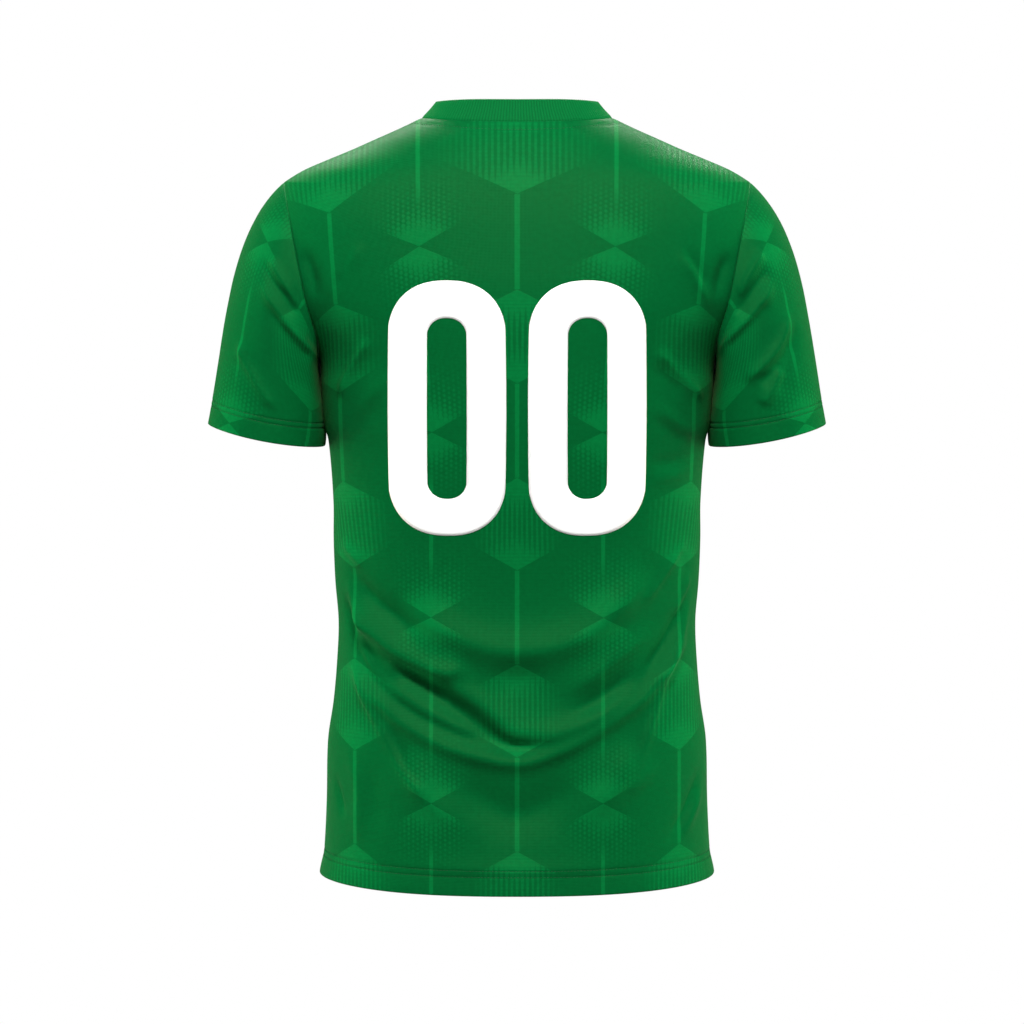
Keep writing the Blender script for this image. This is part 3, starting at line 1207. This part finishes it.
def collarForm():
    s = collar
    fine = np.linspace(1, -1, s["neckSteps"])[:-1]
    last = np.array([body["neckLevel"]])
    below = last - 0.003
    tops = []
    belows = []
    for side in (1, -1):
        top = panelPoints(side, side * fine, last)[0]
        under = panelPoints(side, side * fine, below)[0]
        shift = np.array([0, side * cloth["seamGap"], 0])
        tops.append(top + shift)
        belows.append(under + shift)
    top = np.concatenate(tops)
    under = np.concatenate(belows)
    centre = top.mean(axis=0)
    leave = top - under
    leave /= np.linalg.norm(leave, axis=1, keepdims=True)
    inward = np.stack([-top[:, 0], -(top[:, 1] - centre[1]) * s["inwardDepth"], np.zeros(len(top))], axis=-1)
    inward /= np.linalg.norm(inward, axis=1, keepdims=True)
    toMiddle = 1 - np.minimum(np.abs(top[:, 0]) / body["neckHalfWidth"], 1) ** 3
    height = s["heightAtShoulder"] + (s["heightAtMiddle"] - s["heightAtShoulder"]) * toMiddle
    bandUp = s["leanIn"] * inward + height[:, None] * np.array([0, 0, 1])
    start = top + s["gap"] * leave

    closedRun = runAlong(np.concatenate([start, start[:1]]))
    count = s["ribs"] * s["samplesPerRib"]
    places = np.linspace(0, closedRun[-1], count, endpoint=False)

    def even(values):
        return pointsAt(places, closedRun, np.concatenate([values, values[:1]]))

    start, bandUp, inward = even(start), even(bandUp), even(inward)
    upLength = np.linalg.norm(bandUp, axis=1, keepdims=True)
    t = np.linspace(0, 1, s["loops"])
    outer = np.stack([start + bandUp * k - inward * s["bulge"] * math.sin(math.pi * k) for k in t])
    normals = gridNormals(np.concatenate([outer[:, -1:], outer, outer[:, :1]], axis=1))[:, 1:-1]
    wall = s["wall"]
    ridge = 0.5 + 0.5 * np.cos(2 * math.pi * np.arange(count) / s["samplesPerRib"])
    rows = [outer[0] - wall * normals[0]]
    rows.append(outer[0] - s["footIn"] * normals[0] - s["footDown"] * bandUp / upLength)
    ribFade = smoothStep(0, s["ribStart"], t)
    for i in range(len(t)):
        height = s["ribDepth"] * (ridge * ribFade[i] + ribFade[i] - 1)
        rows.append(outer[i] + height[:, None] * normals[i])
    up = bandUp / upLength
    for angle in np.linspace(0, math.pi, 7)[1:-1]:
        swell = wall / 2 + s["ribDepth"] * ridge[:, None] * math.sin(angle)
        rows.append(outer[-1] + (math.cos(angle) - 1) * wall / 2 * normals[-1] + swell * math.sin(angle) * up)
    depth = (wall + s["ribDepth"] * ridge)[:, None]
    rows += [outer[i] - depth * normals[i] for i in range(len(t) - 1, -1, -1)]
    rib = np.arange(count) / s["samplesPerRib"]
    climb = np.linspace(0, s["knitClimb"], len(rows))
    printed = np.stack(np.broadcast_arrays(rib[None, :], climb[:, None]), axis=-1)
    return np.array(rows), printed


def stitchLine(path, normals, standOut):
    # corners and faces of a row of stitches along a path on the cloth
    s = stitch
    run = runAlong(path)
    centres = np.arange(s["pitch"] / 2, run[-1], s["pitch"])
    along = pointsAt(centres, run, path)
    outward = pointsAt(centres, run, normals)
    ahead = pointsAt(centres + 0.001, run, path) - along
    ahead /= np.maximum(np.linalg.norm(ahead, axis=1, keepdims=True), 1e-9)
    sideways = np.cross(ahead, outward)
    points = []
    faces = []
    sides = s["sides"]
    for centre, n, a, b in zip(along, outward, ahead, sideways):
        first = len(points)
        tip = 0.5 * s["length"] * a
        base = centre + standOut * n
        points.append(base - tip - s["tipSink"] * n)
        for place, size in s["stations"]:
            middle = base + place * tip - s["tipSink"] * n * place ** 2
            for k in range(sides):
                angle = 2 * math.pi * k / sides
                points.append(middle + size * s["radius"] * (math.cos(angle) * b + math.sin(angle) * n))
        points.append(base + tip - s["tipSink"] * n)
        end = len(points) - 1
        for k in range(sides):
            after = (k + 1) % sides
            faces.append((first, first + 1 + k, first + 1 + after))
            for ring in range(2):
                low = first + 1 + ring * sides
                faces.append((low + k, low + sides + k, low + sides + after, low + after))
            faces.append((end, end - sides + after, end - sides + k))
    return points, faces


def stitchPiece(name, form, distances, lastRow, standOut):
    points = []
    faces = []
    for distance in distances:
        path, normals = lineFromEdge(form, distance, lastRow)
        more, moreFaces = stitchLine(path, normals, standOut)
        faces += [tuple(k + len(points) for k in face) for face in moreFaces]
        points += more
    mesh = bpy.data.meshes.new(name)
    mesh.from_pydata([tuple(p) for p in points], [], faces)
    mesh.polygons.foreach_set("use_smooth", np.ones(len(faces), dtype=bool))
    mesh.materials.append(thread)
    return placeMesh(name, mesh)


def lineFromEdge(form, distance, lastRow):
    # the path on the cloth that keeps a given distance from its first or last row
    points, normals = form["outer"], form["normals"]
    if lastRow:
        points, normals = points[::-1], normals[::-1]
    run = alongGrid(points, 0)
    path = np.empty((points.shape[1], 3))
    facing = np.empty_like(path)
    for j in range(points.shape[1]):
        for k in range(3):
            path[j, k] = np.interp(distance, run[:, j], points[:, j, k])
            facing[j, k] = np.interp(distance, run[:, j], normals[:, j, k])
    return path, facing / np.linalg.norm(facing, axis=1, keepdims=True)


def digitForm(side, onBack):
    # a plain zero: a ring between two rounded outlines, laid on the back
    s = number
    turn = np.linspace(0, 2 * math.pi, s["stepsRound"], endpoint=False)

    def outline(halfAcross, halfUp, endHeight, power):
        straight = halfUp - endHeight
        c, d = np.cos(turn), np.sin(turn)
        x = halfAcross * np.sign(c) * np.abs(c) ** (2 / power)
        spread = straight * smoothStep(0, s["endStart"], np.abs(d))
        z = np.sign(d) * (endHeight * np.abs(d) ** (2 / power) + spread)
        return np.stack([x, z], axis=-1)

    outside = outline(s["halfWidth"], s["halfHeight"], s["endHeight"], s["squareness"])
    counter = s["counterHalfWidth"]
    inside = outline(counter, s["counterHalfHeight"], counter, s["counterSquareness"])
    rows = []
    for k in np.linspace(0, 1, s["stepsAcross"]):
        flat = inside * (1 - k) + outside * k
        flat = flat + np.array([side * s["centreAcross"], s["centreLevel"]])
        rows.append(onBack(flat))
    return np.array(rows)


def clothPiece(name, form):
    piece = gridMesh(name, form["points"], form["printed"])
    return thicken(piece, cloth["thickness"], jerseyFace, jerseyInside)


print("jersey: cutting the panels")
backForm = panelForm(1, body["backColumns"])
frontForm = panelForm(-1, body["frontColumns"])
back = clothPiece("back_panel", backForm)
front = clothPiece("front_panel", frontForm)

print("jersey: sewing in the sleeves")
leftForm = sleeveForm(1)
rightForm = sleeveForm(-1)
sleeveLeft = clothPiece("sleeve_left_cloth", leftForm)
sleeveRight = clothPiece("sleeve_right_cloth", rightForm)

print("jersey: knitting the collar")
collarPoints, collarPrint = collarForm()
collarBand = gridMesh("collar_band", collarPoints, collarPrint, closed=True)
collarBand.data.materials.append(collarRib)

print("jersey: pressing on the digits")
backCloth = backForm["outer"]
backTree = BVHTree.FromPolygons(backCloth.reshape(-1, 3).tolist(), gridCorners(backCloth).tolist())


def onBack(flat):
    placed = []
    for x, z in flat:
        behind = Vector((x, number["castFrom"], z))
        hit, normal, _index, _distance = backTree.ray_cast(behind, Vector((0, -1, 0)))
        if normal.y < 0:
            normal = -normal
        placed.append(hit + normal * (number["lift"] + number["film"]))
    return placed


digits = []
for name, side in (("digit_left", 1), ("digit_right", -1)):
    points = digitForm(side, onBack)
    digit = gridMesh(name, points, closed=True)
    if gridNormals(points)[..., 1].mean() < 0:
        digit.data.flip_normals()
    thicken(digit, number["film"], digitFilm, digitFilm)
    digits.append(digit)

print("jersey: sewing")
standOut = stitch["standOut"]
hemLines = hem["stitchLines"]
cuffLines = sleeve["stitchLines"]
hemStitchesBack = stitchPiece("hem_stitches_back", backForm, hemLines, False, standOut)
hemStitchesFront = stitchPiece("hem_stitches_front", frontForm, hemLines, False, standOut)
cuffStitchesLeft = stitchPiece("cuff_stitches_left", leftForm, cuffLines, True, standOut)
cuffStitchesRight = stitchPiece("cuff_stitches_right", rightForm, cuffLines, True, standOut)
standOut = collarSeam["standOut"]
backLine = [collarSeam["backStitchDrop"]]
frontLine = [collarSeam["frontStitchDrop"]]
neckStitchesBack = stitchPiece("neck_stitches_back", backForm, backLine, True, standOut)
neckStitchesFront = stitchPiece("neck_stitches_front", frontForm, frontLine, True, standOut)

replaced = (
    (back, "back"), (front, "front"), (sleeveLeft, "sleeve_left"), (sleeveRight, "sleeve_right"),
    (collarBand, "collar"),
)
stitching = (
    hemStitchesBack, hemStitchesFront, cuffStitchesLeft, cuffStitchesRight,
    neckStitchesBack, neckStitchesFront,
)
for piece, node in replaced:
    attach(piece, "root")
    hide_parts(node)
for piece in digits:
    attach(piece, "root")
for piece in stitching:
    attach(piece, "root")


# Studio: a pale floor, even white all round, soft boxes above and at both sides

studio = {
    "floorLevel": -1.16,
    "floorRadius": 40.0,
    "floorGrey": 0.25,
    "ambientAbove": 0.19,
    "ambientBelow": 0.15,
    "lampAim": (0, 0, -0.33),
}

view = {
    "sensorWidth": 36,
    "lens": 164.8,
    "farEnd": 200,
    "spot": (0.0048, 4.483, 0.0172),
    "aim": (0.0048, 0.0, -0.375),
}

lights = [
    dict(name="box above the back", spot=(-0.06, 2.99, 3.12), size=(1.1, 0.8), power=292,
         colour=(1.0, 0.99, 0.95)),
    dict(name="box above the front", spot=(0.06, -3.30, 2.75), size=(1.6, 1.2), power=235,
         colour=(1.0, 0.99, 0.95)),
    dict(name="box at the left", spot=(2.8, -0.78, -0.1), size=(0.7, 2.0), power=118,
         colour=(1.0, 0.95, 0.78), inGloss=False),
    dict(name="box at the right", spot=(-2.8, -0.78, -0.1), size=(0.7, 2.0), power=118,
         colour=(1.0, 0.95, 0.78), inGloss=False),
]


def aimAt(spot, aim):
    return (Vector(aim) - Vector(spot)).to_track_quat("-Z", "Y").to_euler()


def addLight(s):
    data = bpy.data.lights.new(s["name"], "AREA")
    data.shape = "RECTANGLE"
    data.size, data.size_y = s["size"]
    data.energy = s["power"]
    data.color = s["colour"]
    lamp = bpy.data.objects.new(s["name"], data)
    lamp.location = s["spot"]
    lamp.rotation_euler = aimAt(s["spot"], studio["lampAim"])
    lamp.visible_camera = False
    lamp.visible_glossy = s.get("inGloss", True)
    bpy.context.scene.collection.objects.link(lamp)


def addWorld():
    world = bpy.data.worlds.new("white studio")
    world.use_nodes = True
    bpy.context.scene.world = world
    tree = world.node_tree
    tree.nodes.clear()
    seen = tree.nodes.new("ShaderNodeBackground")
    seen.inputs["Color"].default_value = (1, 1, 1, 1)
    seen.inputs["Strength"].default_value = 1.0
    lit = tree.nodes.new("ShaderNodeBackground")
    direction = tree.nodes.new("ShaderNodeTexCoord")
    split = tree.nodes.new("ShaderNodeSeparateXYZ")
    tree.links.new(direction.outputs["Generated"], split.inputs[0])
    up = ramp(tree, split.outputs["Z"], -0.6, 0.9)
    spread = studio["ambientAbove"] - studio["ambientBelow"]
    tree.links.new(calc(tree, "MULTIPLY_ADD", up, spread, studio["ambientBelow"]), lit.inputs["Strength"])
    lit.inputs["Color"].default_value = (1.0, 1.0, 0.97, 1)
    path = tree.nodes.new("ShaderNodeLightPath")
    mix = tree.nodes.new("ShaderNodeMixShader")
    out = tree.nodes.new("ShaderNodeOutputWorld")
    tree.links.new(path.outputs["Is Camera Ray"], mix.inputs[0])
    tree.links.new(lit.outputs[0], mix.inputs[1])
    tree.links.new(seen.outputs[0], mix.inputs[2])
    tree.links.new(mix.outputs[0], out.inputs[0])


def addFloor():
    s = studio
    ring = np.linspace(0, 2 * math.pi, 96, endpoint=False)
    edge = [(s["floorRadius"] * math.cos(a), s["floorRadius"] * math.sin(a), s["floorLevel"]) for a in ring]
    mesh = bpy.data.meshes.new("floor")
    mesh.from_pydata(edge, [], [tuple(range(len(edge)))])
    floor = placeMesh("floor", mesh)
    material, tree, shader = newMaterial("pale floor")
    shader.inputs["Base Color"].default_value = (s["floorGrey"], s["floorGrey"], s["floorGrey"], 1)
    shader.inputs["Roughness"].default_value = 0.9
    shader.inputs["Specular IOR Level"].default_value = 0.1
    glow = tree.nodes.new("ShaderNodeEmission")
    glow.inputs["Strength"].default_value = 1.0
    path = tree.nodes.new("ShaderNodeLightPath")
    mix = tree.nodes.new("ShaderNodeMixShader")
    tree.links.new(path.outputs["Is Camera Ray"], mix.inputs[0])
    tree.links.new(shader.outputs[0], mix.inputs[1])
    tree.links.new(glow.outputs[0], mix.inputs[2])
    tree.links.new(mix.outputs[0], tree.nodes["Material Output"].inputs[0])
    floor.data.materials.append(material)


def addCamera():
    data = bpy.data.cameras.new("camera")
    data.sensor_width = view["sensorWidth"]
    data.lens = view["lens"]
    data.clip_end = view["farEnd"]
    camera = bpy.data.objects.new("camera", data)
    camera.location = view["spot"]
    camera.rotation_euler = aimAt(view["spot"], view["aim"])
    bpy.context.scene.collection.objects.link(camera)
    bpy.context.scene.camera = camera


for settings in lights:
    addLight(settings)
addWorld()
addFloor()
addCamera()
bpy.context.scene.view_settings.view_transform = "Standard"
print("jersey: studio ready")
